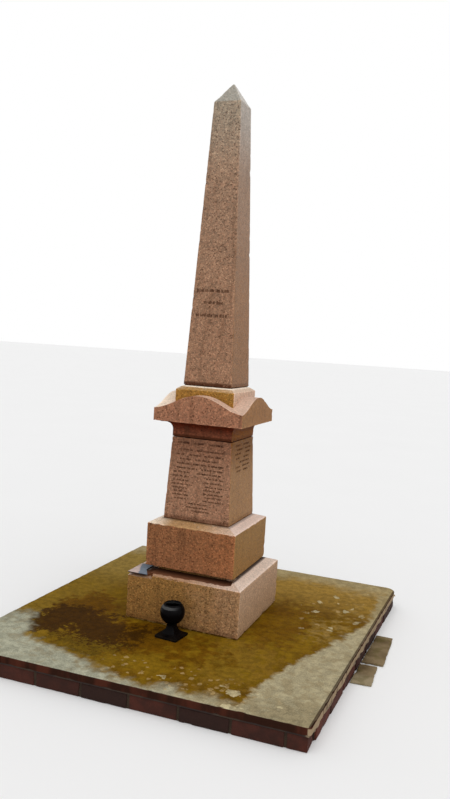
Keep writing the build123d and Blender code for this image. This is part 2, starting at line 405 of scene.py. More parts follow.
# Footing stones: two flat stones of a grey-brown sandstone that lie in the ground along the right foot of
# the brick course. They were split, not sawn, so their edges are ragged and their tops uneven.
footing_stone_skew, split_arris, split_cell = 0.009, 0.004, 0.014


def footing_stone_material():
    place = start_material("footing_sandstone")
    y = place.parts()[1]
    bedding = place.cloud(9.0, 5.0).rise(0.3, 0.7)
    grit = place.cloud(300.0, 2.0)
    moss = place.warped(12.0, 0.03).cloud(16.0).rise(0.5, 0.62)
    dry_end = (y + 0.16).rise(0.03, -0.05)
    colour = bedding.blend((90, 74, 50), (132, 114, 86)).tinted((158, 144, 116), dry_end, 0.7)
    colour = colour.tinted((88, 80, 38), moss, 0.4).shaded(0.7 + grit * 0.6)
    relief = place.cloud(26.0, 5.0) + grit * 0.2
    return finish_material(colour, 0.85 + grit * 0.1, relief, 0.005, specular=0.05)


def only(kind, items):
    """The items of one kind, such as the vertices of what an extrusion made."""
    return [item for item in items if isinstance(item, kind)]


def add_plate(bm, corners, low_z, high_z):
    """Adds an upright block with any corners in plan."""
    foot = bm.faces.new([bm.verts.new((*corner, low_z)) for corner in corners])
    raised = bmesh.ops.extrude_face_region(bm, geom=[foot], use_keep_orig=True)["geom"]
    bmesh.ops.translate(bm, vec=(0, 0, high_z - low_z), verts=only(bmesh.types.BMVert, raised))


def right_wall_x(y):
    """How far right the brick course reaches at a place along it."""
    share = (y - front_right.y) / (back_right.y - front_right.y)
    return front_right.x + (back_right.x - front_right.x) * share


def footing_stone(node, material, seed):
    low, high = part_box(node)
    stone = bmesh.new()
    corners = (
        (right_wall_x(low.y), low.y),
        (high.x, low.y + footing_stone_skew),
        (high.x - footing_stone_skew, high.y),
        (right_wall_x(high.y), high.y),
    )
    add_plate(stone, corners, low.z, high.z)
    round_arrises(stone, split_arris)
    cut_up(stone, split_cell)
    wear(stone, chip=0.008, waviness=0.003, seed=seed)
    finish_piece(stone, node + "_split", [material], "footing_stone", node)


sandstone = footing_stone_material()
footing_stone("footing_stone_near", sandstone, 3)
footing_stone("footing_stone_far", sandstone, 8)

# Slab bed: a skim of lime mortar between the bricks and the slab. Along the right edge it was left proud,
# and shows as a thin pale lip with a broken edge. Elsewhere it is weathered back under the slab.
bed_inset, bed_lip, bed_lip_width, bed_ragged, bed_cell = 0.006, 0.0015, 0.004, 0.01, 0.012
slab_edge_lean = 0.0286


def bed_material():
    place = start_material("lime_bed")
    grit = place.cloud(240.0, 2.0)
    dirt = place.cloud(11.0, 4.0).rise(0.42, 0.62)
    x, y, _ = place.parts()
    at_right = (x - y * slab_edge_lean).rise(0.835, 0.85)
    colour = at_right.blend((40, 26, 20), (150, 130, 102)).tinted((62, 48, 34), dirt, 0.7)
    colour = colour.shaded(0.8 + grit * 0.4)
    return finish_material(colour, 0.9 + grit * 0.05, place.cloud(60.0, 4.0), 0.003)


bed = bmesh.new()
bed_low, bed_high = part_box("slab_bed")
inside = corners_inside(bed_inset)
lip = (inside[2] - inside[1]).normalized().orthogonal() * (bed_inset + bed_lip)
add_plate(bed, (inside[0], inside[1] - lip, inside[2] - lip, inside[3]), bed_low.z, bed_high.z)
cut_up(bed, bed_cell)
bed_right = max(vert.co.x - vert.co.y * slab_edge_lean for vert in bed.verts)
for vert in bed.verts:
    ragged = noise.noise(vert.co * 17.0) + 0.5 * noise.noise(vert.co * 60.0)
    if vert.co.x - vert.co.y * slab_edge_lean > bed_right - bed_lip_width:
        vert.co.x -= bed_ragged * min(1.0, max(0.0, 0.35 + ragged))
finish_piece(bed, "slab_bed_mortar", [bed_material()], "bed_mortar", "slab_bed")

# Slab: a single slab of old cast concrete, thin, with its right back corner worn round. Rain stands on its
# middle, so an olive brown stain of algae has spread there, with a pale dry margin at the front and on the
# right, moss at the left, and round spots of pale lichen. Its edge is damp and almost black with dirt.
slab_corner_radius, slab_worn_radius = 0.014, 0.065
slab_arris, slab_cell = 0.005, 0.016
slab_rim_x, slab_edge_z, slab_pale_z = 0.848, 0.1045, 0.098
slab_dry_left = (163, 162, 141)
slab_dry_right = (166, 155, 124)
slab_dry_back = (158, 141, 102)
slab_dirt = (106, 90, 60)
slab_stain = (96, 66, 8)
slab_stain_light = (115, 87, 16)
slab_stain_dark = (58, 35, 3)
slab_stain_shaded = (92, 60, 4)
slab_yellow = (125, 96, 33)
slab_left = (122, 96, 30)
slab_back_left = (134, 111, 56)
slab_back_right = (145, 114, 52)
slab_moss = (132, 106, 24)
slab_bloom = (170, 144, 98)
slab_lichen = (196, 184, 146)
slab_edge = (44, 25, 18)
slab_edge_red = (70, 36, 26)
slab_edge_pale = (150, 130, 104)


def specks(place, scale, radius, share):
    """Ragged specks, in a share of the cells of a pattern."""
    ragged = place.warped(scale * 2.5, 0.7 / scale)
    distance = place.node("ShaderNodeTexVoronoi", {}, {"Vector": ragged, "Scale": scale}, "Distance")
    chosen = place.node("ShaderNodeSeparateColor", {}, {0: distance.other("Color")})
    size = radius * (0.6 + 0.8 * chosen.other("Green"))
    return (size - distance).rise(-0.03, 0.03) * chosen.rise(share + 0.01, share - 0.01)


def slab_material():
    place = start_material("stained_slab")
    x, y, z = place.parts()
    broad = place.cloud(4.0, 5.0) - 0.5
    small = place.cloud(22.0, 4.0) - 0.5
    patches = place.warped(6.0, 0.12).cloud(5.0, 5.0) - 0.5
    mottled = place.cloud(34.0, 5.0)
    fine = place.cloud(150.0)
    sway = broad * 0.24 + small * 0.12
    blotted = patches + small

    def oval(middle_x, middle_y, reach_x, reach_y, ragged=small * 3.0):
        """Where a ragged oval patch lies: 1 in its middle, and 0 outside."""
        across = (x - middle_x) * (1 / reach_x)
        along = (y - middle_y) * (1 / reach_y)
        return (across * across + along * along + ragged).rise(1.3, 0.5)

    dry_front = (((x + 0.82) * -4.2).maths("EXPONENT") * 0.53 - 0.9).maths("MINIMUM", -0.52)
    dry_right = ((y + 0.65).maths("MAXIMUM", 0.0) * 0.3 + 0.545).maths("MINIMUM", 0.835)
    stained = (y - dry_front + sway).rise(-0.035, 0.06)
    stained = stained * (dry_right - x + sway * 0.7).rise(-0.015, 0.025)
    stained = stained * (0.73 - y + sway).rise(-0.09, 0.09)

    dry = x.rise(-0.1, 0.5).blend(slab_dry_left, slab_dry_right)
    dry = dry.tinted(slab_dry_back, y.rise(-0.1, 0.6))
    dirty = patches + small * 1.3 + (mottled - 0.5) * 1.2 + oval(0.74, -0.86, 0.2, 0.12, small) * 0.25
    dirty = dirty + oval(-0.78, -0.52, 0.14, 0.14, small) * 0.22
    dry = dry.tinted(slab_dirt, dirty.rise(-0.08, 0.24), 0.45)

    wet = (patches + small * 0.6).rise(-0.16, 0.18).blend(slab_stain, slab_stain_light)
    wet = wet.tinted(slab_left, x.rise(-0.5, -0.66), 0.8)
    back = x.rise(-0.3, 0.3).blend(slab_back_left, slab_back_right)
    wet = ((y - x.rise(-0.2, 0.3) * 0.14).rise(0.0, 0.45) * 0.85).blend(wet, back)
    flecked = (place.cloud(75.0, 4.0) - 0.5) * 7.0
    wet = wet.tinted(slab_yellow, oval(0.38, -0.5, 0.2, 0.3, blotted * 4.0), 0.55)
    # Beside the right of the blocks and in front of them the wet stain is painted darker: stain, and painted
    # shade of the monument on the slab.
    wet = wet.tinted(slab_stain_shaded, oval(0.42, 0.03, 0.15, 0.36), 0.55)
    shaded = oval(-0.12, -0.52, 0.48, 0.2, blotted * 3.0)
    shaded = shaded.maths("MAXIMUM", oval(-0.56, -0.3, 0.15, 0.28, blotted * 3.0))
    wet = wet.tinted(slab_stain_shaded, shaded, 0.85)
    dark = oval(-0.45, -0.56, 0.33, 0.22, patches * 5.0 + small * 4.0 + flecked * 0.3)
    moss = oval(-0.31, -0.74, 0.27, 0.11, small * 6.0 + flecked)
    moss = (moss + oval(0.36, -0.62, 0.12, 0.1, flecked) * 0.6).maths("MINIMUM", 1.0)
    wet = wet.tinted(slab_stain_dark, dark, 0.92).tinted(slab_moss, moss, 0.4)

    bloom = oval(0.67, 0.3, 0.14, 0.46, small * 4.0) * blotted.rise(-0.02, 0.12)
    colour = stained.blend(dry, wet).tinted(slab_bloom, bloom, 0.22)
    loose = specks(place, 38.0, 0.36, 0.4) * oval(0.22, -0.8, 0.44, 0.12)
    loose = loose + specks(place, 20.0, 0.24, 0.12) * oval(0.62, 0.36, 0.2, 0.4)
    colour = colour.tinted(slab_bloom, loose.maths("MINIMUM", 1.0), 0.5)
    large = specks(place, 15.0, 0.34, 0.35) * oval(0.4, -0.86, 0.3, 0.1)
    large = large + specks(place, 12.0, 0.3, 0.6) * oval(0.64, 0.37, 0.14, 0.4)
    colour = colour.tinted(slab_lichen, large.maths("MINIMUM", 1.0), 0.65)
    grain = mottled.rise(0.36, 0.64) * 0.32 + fine.rise(0.38, 0.62) * 0.24
    colour = colour.shaded(0.72 + grain + (patches + broad) * 0.3)

    across = x - y * slab_edge_lean
    colour = colour.tinted(slab_edge, (across - slab_rim_x).rise(0.0, 0.003), 0.75)
    at_edge = (z - slab_edge_z).rise(0.0015, -0.0015)
    runs = place.stretched(1.0, 1.0, 0.3).cloud(15.0, 4.0)
    side = runs.rise(0.4, 0.66).blend(slab_edge, slab_edge_red)
    pale = (slab_pale_z - z + small * 0.02).rise(-0.002, 0.003) * across.rise(0.845, 0.85)
    side = side.tinted(slab_edge_pale, pale * runs.rise(0.3, 0.42))
    colour = at_edge.blend(colour, side)

    roughness = 0.88 - stained * 0.15 + (fine - 0.5) * 0.2
    relief = place.cloud(70.0, 4.0) * 0.5 + fine * 0.3 + place.cloud(9.0)
    return finish_material(colour, roughness, relief, 0.0022, specular=0.02)


def upright_edges(bm):
    """The edges that climb."""
    return [edge for edge in bm.edges if abs(edge.verts[0].co.z - edge.verts[1].co.z) > 1e-4]


def edges_at(bm, level):
    """The edges that lie at a level, or over it."""
    return [edge for edge in bm.edges if all(vert.co.z > level - 0.001 for vert in edge.verts)]


slab = bmesh.new()
slab_low, slab_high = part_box("slab")
add_plate(slab, slab_corners, slab_low.z, slab_high.z)
for radius, steps, worn_now in ((slab_corner_radius, 4, False), (slab_worn_radius, 8, True)):
    upright = upright_edges(slab)
    worn = max(upright, key=lambda edge: edge.verts[0].co.x + edge.verts[0].co.y)
    bevel(slab, [edge for edge in upright if (edge is worn) == worn_now], radius, steps)
bevel(slab, edges_at(slab, slab_high.z), slab_arris, 3)
cut_up(slab, slab_cell)
wear(slab, chip=0.007, waviness=0.0015, seed=21)
finish_piece(slab, "slab_cast", [slab_material()], "slab_concrete", "slab")

# Bedding joints: thin beds of mortar between the stones, raked back by the weather and grown over with
# algae, darkest where they stay wet. They keep the shapes of the frame and only get their finish here.


def joint_material(name, dark, light):
    place = start_material(name)
    grains = place.crystals(380.0)
    algae = place.cloud(30.0, 4.0).rise(0.4, 0.6)
    colour = algae.blend(light, dark).shaded(0.7 + grains * 0.6)
    return finish_material(colour, 0.85 + grains * 0.1, place.cloud(110.0), 0.002, specular=0.02)


dress(joint_material("dark_joint", (24, 10, 6), (50, 26, 14)), "middle_block_joint", "moulding_joint")
dress(joint_material("brown_joint", (58, 34, 20), (96, 66, 44)), "die_joint", "shaft_joint")
dress(joint_material("damp_joint", (84, 58, 20), (140, 112, 66)), "lower_block_joint")

# Lower block: the largest of the granite blocks, fine-axed, 2 ft square, its top sloped to shed water. The
# open joint above it has let the front of the slope decay, and its left front corner has broken away.
# The stone is a coarse pink granite with grey quartz, black mica and some large pale crystals.
mica = (0.27, 0.24, 0.23, 1.0)
quartz = (0.42, 0.43, 0.44, 1.0)
pale_pink = (0.54, 0.54, 0.53, 1.0)
strong_pink = (0.61, 0.56, 0.54, 1.0)
large_crystal = (0.78, 0.77, 0.75, 1.0)
granite_mean = (0.55, 0.55, 0.55, 1.0)
lower_half, middle_half, lower_foot_z = 0.305, 0.241, 0.114
lower_stations = ((lower_half, lower_foot_z), (lower_half, 0.347), (0.242, 0.37))
rebate_right, rebate_back, rebate_z = -0.19, -0.155, 0.345
chip_foot_z, chip_depth, chip_right = 0.332, 0.024, -0.172
hollow_left, hollow_back, hollow_z = -0.225, -0.189, 0.352
hollow_front_left, hollow_front_right = -0.29, -0.277
fine_cell, decay_low, decay_high = 0.004, (-0.31, -0.31, 0.325), (0.26, -0.15, 0.375)


def finish_granite(
    stone, name, node, slot, heights, front, side, top, roughness, grime=0.3, damp=None, seat=None,
    lichen_and_arris_light=True, bleach_and_light=0.8, pale_above=9.0, front_right=None,
):
    """Finishes a stone in speckled granite whose tone follows the height and the way a face looks.

    Front and side hold the tones of their foot and their head, and top those of its front and its right.
    These tones are partly painted light: tops are painted paler than the upright faces, as if lit from
    above, the front and the side are lit and shaded copies of the stone, and the fronts of the tops are
    painted brighter towards the right, as a highlight.
    """
    place = start_material(slot)
    x, y, z = place.parts()
    height = z.rise(*heights[:2])
    if heights[2:]:
        height = height * 0.28 + z.rise(*heights[2:]) * 0.72
    looks_front = (0.0 - y - abs(x)).rise(-0.002, 0.002)
    looks_up = painted(place, "up").rise(0.3, 0.6)
    # Each way a face looks gets its own tone, partly painted light: paler tops, as if lit from above, and
    # the front and the side each in its own lit or shaded tone.
    front_tone = height.blend(*front)
    if front_right:
        to_right = (x + (place.cloud(9.0) - 0.5) * 0.3).rise(-0.05, 0.27)
        front_tone = to_right.blend(front_tone, front_right)
    side_tone = height.blend(*side)
    # The fronts of the tops are painted brighter towards the right, as a painted highlight.
    highlight_to_right = x.rise(0.0, 0.26) * 0.6
    top_tone = looks_front.blend(top[1], highlight_to_right.blend(*top))
    # Tops on the left, and all above pale_above, are tinted near white: partly bleaching and lichen, partly
    # painted light on brightly lit roofs and a painted highlight along the top of the neck.
    above = z.rise(pale_above - 0.002, pale_above + 0.002)
    bleached_and_lit = (x.rise(-0.1, -0.22) * bleach_and_light).maths("MAXIMUM", above)
    top_tone = top_tone.tinted((244, 228, 208), bleached_and_lit)
    tone = looks_up.blend(looks_front.blend(side_tone, front_tone), top_tone)

    crystal = place.warped(180.0, 0.004).crystals(185.0)
    stops = [(0.0, mica), (0.07, quartz), (0.28, pale_pink), (0.62, strong_pink), (0.87, large_crystal)]
    mineral = crystal.node("ShaderNodeValToRGB", {"stops": stops}, {0: crystal})
    contrast = (0.65 + looks_front * 0.35) * (1.0 - looks_up * 0.45)
    fine = place.crystals(520.0)
    colour = tone.shaded(contrast.blend(granite_mean, mineral)).shaded(1.55 + fine * 0.5)

    blotches = place.cloud(24.0, 2.0).rise(0.35, 0.65) * 0.1 + place.cloud(75.0, 2.0).rise(0.3, 0.7) * 0.26
    colour = colour.shaded(0.9 + place.cloud(5.0, 4.0) * 0.2 + (blotches - 0.16) * contrast)
    streaks = place.stretched(1.0, 1.0, 0.06).cloud(36.0, 4.0).rise(0.5, 0.74)
    streaks = streaks * (1.0 - looks_up) * (0.4 + looks_front * 0.6)
    colour = colour.tinted((74, 46, 28), streaks, grime)
    if damp:
        foot, reach, share = damp
        at_foot = (z - foot).rise(reach, reach * 0.4) * place.cloud(30.0).rise(0.1, 0.45)
        at_foot = at_foot * (0.45 + looks_front * 0.55)
        colour = colour.tinted((66, 32, 14), at_foot, share)
    if seat:
        seat_half, share = seat
        # The top is darkened in a strip beside the foot of the stone that sits on it: dark stain, and
        # painted shade in the crease.
        shade_beside_foot = (abs(x).maths("MAXIMUM", abs(y)) - seat_half).rise(0.015, 0.004) * looks_up
        colour = colour.tinted((40, 20, 10), shade_beside_foot, share)
    if lichen_and_arris_light:
        lichen = specks(place, 70.0, 0.3, 0.18) * looks_up
        colour = colour.tinted((214, 206, 186), lichen, 0.25)
        # Arrises are painted lighter: partly wear, partly a painted highlight along the edges.
        colour = colour.shaded(1.0 + painted(place, "arris") * 0.15)
    # The hollow and the broken corner are painted dark brown, darker further in: decayed stone, and painted
    # shade in the recess.
    rotten_and_shaded = (y - hollow_front_left).rise(0.0, 0.045).blend((104, 62, 40), (82, 48, 30))
    colour = (painted(place, "decay") * 0.94).blend(colour, rotten_and_shaded)

    relief = fine * 0.5 + crystal * 0.5 + place.cloud(60.0) * 2.0
    polish = roughness + (crystal - 0.5) * 0.12 + looks_up * 0.15
    granite = finish_material(colour, polish, relief, 0.0009, specular=0.05)
    finish_piece(stone, name, [granite], slot, node)


def pull_up(bm, stations):
    """A square block pulled up from its foot through stations of (half width, level)."""
    half, level = stations[0]
    seat = Matrix.Translation((0, 0, level))
    bmesh.ops.create_grid(bm, x_segments=1, y_segments=1, size=half, matrix=seat)
    top = bm.faces[:]
    for next_half, next_level in stations[1:]:
        raised = bmesh.ops.extrude_face_region(bm, geom=top)["geom"]
        bmesh.ops.delete(bm, geom=top, context="FACES_ONLY")
        verts = only(bmesh.types.BMVert, raised)
        top = only(bmesh.types.BMFace, raised)
        bmesh.ops.scale(bm, vec=(next_half / half, next_half / half, 1), verts=verts)
        bmesh.ops.translate(bm, vec=(0, 0, next_level - level), verts=verts)
        half, level = next_half, next_level
    open_edges = [edge for edge in bm.edges if edge.is_boundary]
    bmesh.ops.holes_fill(bm, edges=open_edges, sides=4)


def dressed_stone(stations, arris, chip, waviness, seed, cell=0.012, finer=()):
    """A squared and worn stone, with finer cells where they are asked for."""
    stone = bmesh.new()
    pull_up(stone, stations)
    round_arrises(stone, arris, 0.2)
    cut_up(stone, cell)
    if finer:
        cut_up(stone, *finer)
    wear(stone, chip, waviness, seed)
    return stone


finer = (fine_cell, decay_low, decay_high)
lower = dressed_stone(lower_stations, arris=0.003, chip=0.006, waviness=0.0008, seed=1, finer=finer)
decay = lower.faces.layers.float.new("decay")
sunk = set()
for vert in lower.verts:
    x, y, z = vert.co
    ragged = noise.noise(vert.co * 30.0) * 0.01
    share = (x - hollow_left) / (middle_half - hollow_left)
    hollow_front = hollow_front_left + (hollow_front_right - hollow_front_left) * share
    in_hollow = hollow_front + ragged < y < hollow_back and hollow_left + ragged < x < middle_half
    if z > hollow_z and in_hollow:
        vert.co.z = hollow_z + abs(ragged) * 0.3
        sunk.add(vert)
    if z > rebate_z and x < rebate_right and y < rebate_back:
        vert.co.z = rebate_z
    if z > chip_foot_z + ragged * 0.4 and x < chip_right + ragged and y < chip_depth - lower_half:
        vert.co.y = max(y, chip_depth - lower_half + ragged * 0.5)
        sunk.add(vert)
# Faces of the hollow and the broken corner are marked, to be painted as decay and as the shade in them.
for face in lower.faces:
    face[decay] = float(all(vert in sunk for vert in face.verts))
# Its right face and its ledge are painted lighter than its front, as lit faces.
finish_granite(
    lower, "lower_block_axed", "lower_block", "lower_granite", heights=(0.13, 0.34), roughness=0.62,
    front=((141, 103, 56), (144, 106, 58)), side=((172, 140, 110), (182, 151, 124)),
    top=((168, 132, 104), (216, 194, 178)), damp=(lower_foot_z, 0.03, 0.25), seat=(middle_half, 0.9),
    bleach_and_light=0.0, front_right=(162, 126, 91),
)

# Corner slate: a split blue-grey slate laid over the broken corner of the lower block to keep water out.
# Its left end has faded to a dusty pink, and its edges show the thin leaves of the stone.
slate_tail_x, slate_tail_y = -0.234, -0.236
slate_edge_z, slate_arris, slate_cell = 0.35, 0.0008, 0.008
slate_fade_x, slate_fade_y, slate_fade_slant = -0.244, -0.309, 0.364


def slate_material():
    place = start_material("split_slate")
    x, y, z = place.parts()
    faded = (x - slate_fade_x) + (y - slate_fade_y) * slate_fade_slant
    faded = (faded + (place.cloud(60.0) - 0.5) * 0.02).rise(0.004, -0.004)
    leaf = place.stretched(1.0, 1.0, 14.0).cloud(50.0)
    colour = faded.blend((112, 122, 134), (192, 172, 164))
    # Below its top the slate is painted near black on its edges and underside, as painted shade under the
    # slate.
    edge = (z - slate_edge_z).rise(0.0006, -0.0006)
    colour = colour.tinted((30, 16, 10), edge, 0.9).shaded(0.75 + leaf * 0.5)
    return finish_material(colour, 0.55 + leaf * 0.2, leaf, 0.0012, specular=0.1)


slate = bmesh.new()
slate_low, slate_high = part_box("corner_slate")
slate_outline = (
    (slate_low.x, slate_low.y), (slate_high.x, slate_low.y), (slate_tail_x, slate_tail_y),
    (slate_tail_x, slate_high.y), (slate_low.x, slate_high.y),
)
add_plate(slate, slate_outline, slate_low.z, slate_high.z)
round_arrises(slate, slate_arris)
cut_up(slate, slate_cell)
wear(slate, chip=0.002, waviness=0.0008, seed=5)
finish_piece(slate, "corner_slate_split", [slate_material()], "slate", "corner_slate")

# Middle block: the second granite block, fine-axed like the one under it, with the same sloped top. It is
# redder on the front than on the right, where its tones are painted lighter and more olive, as the light
# that the grass reflects on it.
die_half = 0.181
middle_stations = ((middle_half, 0.377), (middle_half, 0.598), (0.182, 0.618))
middle = dressed_stone(middle_stations, arris=0.003, chip=0.006, waviness=0.0008, seed=2)
finish_granite(
    middle, "middle_block_axed", "middle_block", "middle_granite", heights=(0.39, 0.59), roughness=0.55,
    front=((141, 94, 63), (138, 93, 62)), side=((143, 106, 60), (148, 112, 66)),
    top=((174, 136, 94), (220, 196, 182)), grime=0.34, seat=(die_half, 0.45), front_right=(150, 98, 64),
)

# Die: the tapered stone that carries the panels, of polished granite gone dull. The panels have rows of
# shallow cuts filled with dark paint. They stand here as plain upright strokes in groups, with no letters.
die_foot_z, frieze_half = 0.621, 0.1625
die_stations = ((die_half, die_foot_z), (frieze_half, 1.041))
stroke_pitch, stroke_proud, stroke_root = 0.0038, 0.00015, 0.001
die = dressed_stone(die_stations, arris=0.0025, chip=0.004, waviness=0.0004, seed=3)
# The die's tones darken towards its head as painted shade under the moulding.
finish_granite(
    die, "die_panelled", "die", "die_granite", heights=(0.85, 1.03), roughness=0.42,
    front=((152, 114, 90), (127, 89, 68)), side=((152, 114, 75), (116, 74, 26)),
    top=((74, 40, 24), (74, 40, 24)), damp=(die_foot_z, 0.028, 0.55),
)


def stroke_material():
    place = start_material("cut_stroke")
    wornness = place.cloud(130.0, 2.0)
    colour = painted(place, "tone").blend((104, 72, 54), (32, 10, 3)).shaded(0.7 + wornness * 0.6)
    return finish_material(colour, 0.7 + wornness * 0.2, wornness, 0.0003, specular=0.03)


def half_width(stations, level):
    """Half the width of a tapered stone at a level."""
    (low_half, low_z), (high_half, high_z) = stations[:2]
    return low_half + (high_half - low_half) * (level - low_z) / (high_z - low_z)


def add_strokes(bm, stations, rows, dice, turn):
    """Adds rows of upright strokes to one face: level, height, darkness, and the start and end of runs."""
    tone = bm.faces.layers.float.get("tone") or bm.faces.layers.float.new("tone")
    for level, height, darkness, *runs in rows:
        half = half_width(stations, level)
        for start, end in runs:
            place = start
            while place < end - stroke_pitch:
                wornness = dice.uniform(0.45, 1.0)
                for _ in range(dice.randint(3, 9)):
                    width = dice.uniform(0.0018, 0.0032)
                    cut_height = height * dice.uniform(0.7, 1.0)
                    low = (place, -half - stroke_proud, level - height / 2)
                    high = (place + width, stroke_root - half, level - height / 2 + cut_height)
                    made = add_block(bm, low, high)
                    bmesh.ops.rotate(bm, verts=made, cent=(0, 0, 0), matrix=Matrix.Rotation(turn, 3, "Z"))
                    shade = darkness * wornness * dice.uniform(0.7, 1.0)
                    for face in {face for vert in made for face in vert.link_faces}:
                        face[tone] = shade
                    place += stroke_pitch
                    if place > end - stroke_pitch:
                        break
                place += stroke_pitch * dice.uniform(0.8, 1.8)


strokes = bmesh.new()
dice = random.Random(44)
front_rows = [
    (1.017, 0.0115, 1.0, (-0.13, -0.058), (-0.04, 0.022), (0.048, 0.122)),
    (0.982, 0.01, 0.95, (-0.12, -0.04), (-0.02, 0.13)),
    (0.957, 0.01, 0.95, (-0.13, -0.085), (-0.06, 0.005), (0.02, 0.13)),
    (0.934, 0.01, 0.95, (-0.112, -0.048), (-0.03, 0.1)),
    (0.911, 0.01, 0.95, (-0.128, 0.128)),
    (0.888, 0.01, 0.95, (-0.125, -0.01), (0.01, 0.13)),
    (0.866, 0.0095, 0.95, (-0.142, -0.05), (-0.01, 0.12)),
    (0.845, 0.0095, 1.0, (-0.145, -0.05), (0.04, 0.14)),
    (0.824, 0.009, 0.85, (-0.14, -0.055), (0.03, 0.135)),
    (0.804, 0.0095, 0.95, (-0.145, -0.045), (0.035, 0.14)),
    (0.786, 0.0085, 0.8, (-0.14, -0.06), (0.03, 0.125)),
    (0.768, 0.0085, 0.75, (-0.135, -0.06), (0.03, 0.14)),
    (0.75, 0.0085, 0.85, (-0.14, -0.05), (0.035, 0.13)),
    (0.731, 0.0085, 0.85, (-0.13, -0.06), (0.03, 0.14)),
    (0.711, 0.0085, 0.85, (-0.05, 0.055)),
    (0.692, 0.009, 0.95, (-0.06, 0.065)),
    (0.675, 0.0085, 0.85, (-0.03, 0.07)),
]
add_strokes(strokes, die_stations, front_rows, dice, 0.0)
right_rows = [
    (1.016, 0.011, 0.8, (-0.095, -0.03), (0.015, 0.1)),
    (0.994, 0.0105, 0.75, (-0.08, 0.005), (0.035, 0.125)),
    (0.973, 0.0105, 0.7, (-0.105, -0.02), (0.045, 0.12)),
    (0.951, 0.01, 0.65, (-0.095, -0.045), (0.015, 0.095)),
    (0.929, 0.01, 0.5, (-0.04, 0.1)),
    (0.906, 0.01, 0.6, (-0.1, -0.03), (0.0, 0.11)),
    (0.884, 0.01, 0.55, (-0.085, -0.025), (0.01, 0.085)),
]
add_strokes(strokes, die_stations, right_rows, dice, math.pi / 2)
stroke_paint = stroke_material()
finish_piece(strokes, "die_strokes", [stroke_paint], "die_granite")

# Moulded course: the frieze, hollow moulding and fillet that carry the cap, worked on one polished stone
# and mitred at the corners. It is the darkest of the stones: its tones are painted dark, darkest at the top,
# as the shade under the overhanging cap.
fillet_half, cavetto_steps = 0.2115, 8
frieze_low_z, cavetto_low_z, fillet_low_z, moulding_top_z = 1.044, 1.081, 1.119, 1.1245


def arc_points(start, end, steps):
    """Points of the arc that leaves its start upright, each as half a width and a level."""
    reach, climb = end[0] - start[0], end[1] - start[1]
    radius = (reach ** 2 + climb ** 2) / (2 * abs(reach))
    sweep = math.asin(abs(climb) / radius)
    if abs(reach) > radius:
        sweep = math.pi - sweep
    points = []
    for step in range(1, steps + 1):
        angle = sweep * step / steps
        out = math.copysign(radius * (1 - math.cos(angle)), reach)
        points.append((start[0] + out, start[1] + math.copysign(radius * math.sin(angle), climb)))
    return points


frieze_top = (frieze_half, cavetto_low_z)
cavetto = arc_points(frieze_top, (fillet_half, fillet_low_z), cavetto_steps)
moulding = dressed_stone(
    ((frieze_half, frieze_low_z), frieze_top, *cavetto, (fillet_half, moulding_top_z)),
    arris=0.0012, chip=0.003, waviness=0.0004, seed=4,
)
finish_granite(
    moulding, "moulding_worked", "moulding_course", "moulding_granite", heights=(1.06, 1.11), roughness=0.6,
    front=((116, 66, 46), (80, 28, 10)), side=((124, 74, 24), (98, 50, 8)), top=((90, 58, 44), (90, 58, 44)),
    grime=0.6, damp=(frieze_low_z, 0.018, 0.85), lichen_and_arris_light=False,
)

# Cap: one granite stone with a gable on each side. Each gable edge starts in a hollow at the corner and
# runs out into a swelling at the crown, and the roofs meet in valleys that run in from the corners.
cap_half, neck_half, roof_inset = 0.238, 0.16, 0.012
cap_corner_z, gable_z = 1.189, 1.264
gable_handle, gable_slope = 0.095, 0.12
cap_arris, cap_cells = 0.004, 48
cap_cut_levels = (1.137, 1.149, 1.161, 1.173, 1.185)


def gable_height(across):
    """The level of a gable's edge at a distance from its middle, from the ogee curve that shapes it."""
    foot = Vector((cap_half, cap_corner_z))
    hollow = Vector((cap_half - gable_handle, cap_corner_z + gable_handle * gable_slope))
    swelling = Vector((gable_handle, gable_z))
    crown = Vector((0.0, gable_z))
    low, high = 0.0, 1.0
    for _ in range(30):
        share = (low + high) / 2
        rest = 1 - share
        point = foot * rest ** 3 + hollow * 3 * rest ** 2 * share + swelling * 3 * rest * share ** 2
        point += crown * share ** 3
        if point.x > abs(across):
            low = share
        else:
            high = share
    return point.y


cap = bmesh.new()
cap_seat = Matrix.Translation((0, 0, moulding_top_z))
bmesh.ops.create_grid(cap, x_segments=cap_cells, y_segments=cap_cells, size=cap_half, matrix=cap_seat)
for diagonal in ((1, 1, 0), (1, -1, 0)):
    cut_across(cap, (0, 0, 0), diagonal)
roof = bmesh.ops.extrude_face_region(cap, geom=cap.faces[:], use_keep_orig=True)["geom"]
for vert in only(bmesh.types.BMVert, roof):
    outer = max(abs(vert.co.x), abs(vert.co.y))
    if outer > neck_half - roof_inset:
        vert.co.z = max(gable_height(vert.co.x), gable_height(vert.co.y))
    else:
        vert.co.z = cap_corner_z
round_arrises(cap, cap_arris, 1.2)
for level in cap_cut_levels:
    cut_across(cap, (0, 0, level), (0, 0, 1))
wear(cap, chip=0.004, waviness=0.0006, seed=6)
# The roofs are painted pale, palest on the left: lichen, and painted light on the lit roofs.
finish_granite(
    cap, "cap_gabled", "gabled_cap", "cap_granite", heights=(1.13, 1.25), roughness=0.5,
    front=((150, 105, 81), (150, 106, 81)), side=((147, 106, 68), (143, 104, 68)),
    top=((204, 170, 148), (204, 173, 153)),
)

# Neck: the plinth that is set down between the four gables and carries the shaft. It is axed like the base
# blocks, has the same sloped top, and is yellowed with algae on the front.
neck_stations = ((neck_half, 1.19), (neck_half, 1.287), (0.132, 1.306))
neck = dressed_stone(neck_stations, arris=0.003, chip=0.005, waviness=0.0006, seed=7)
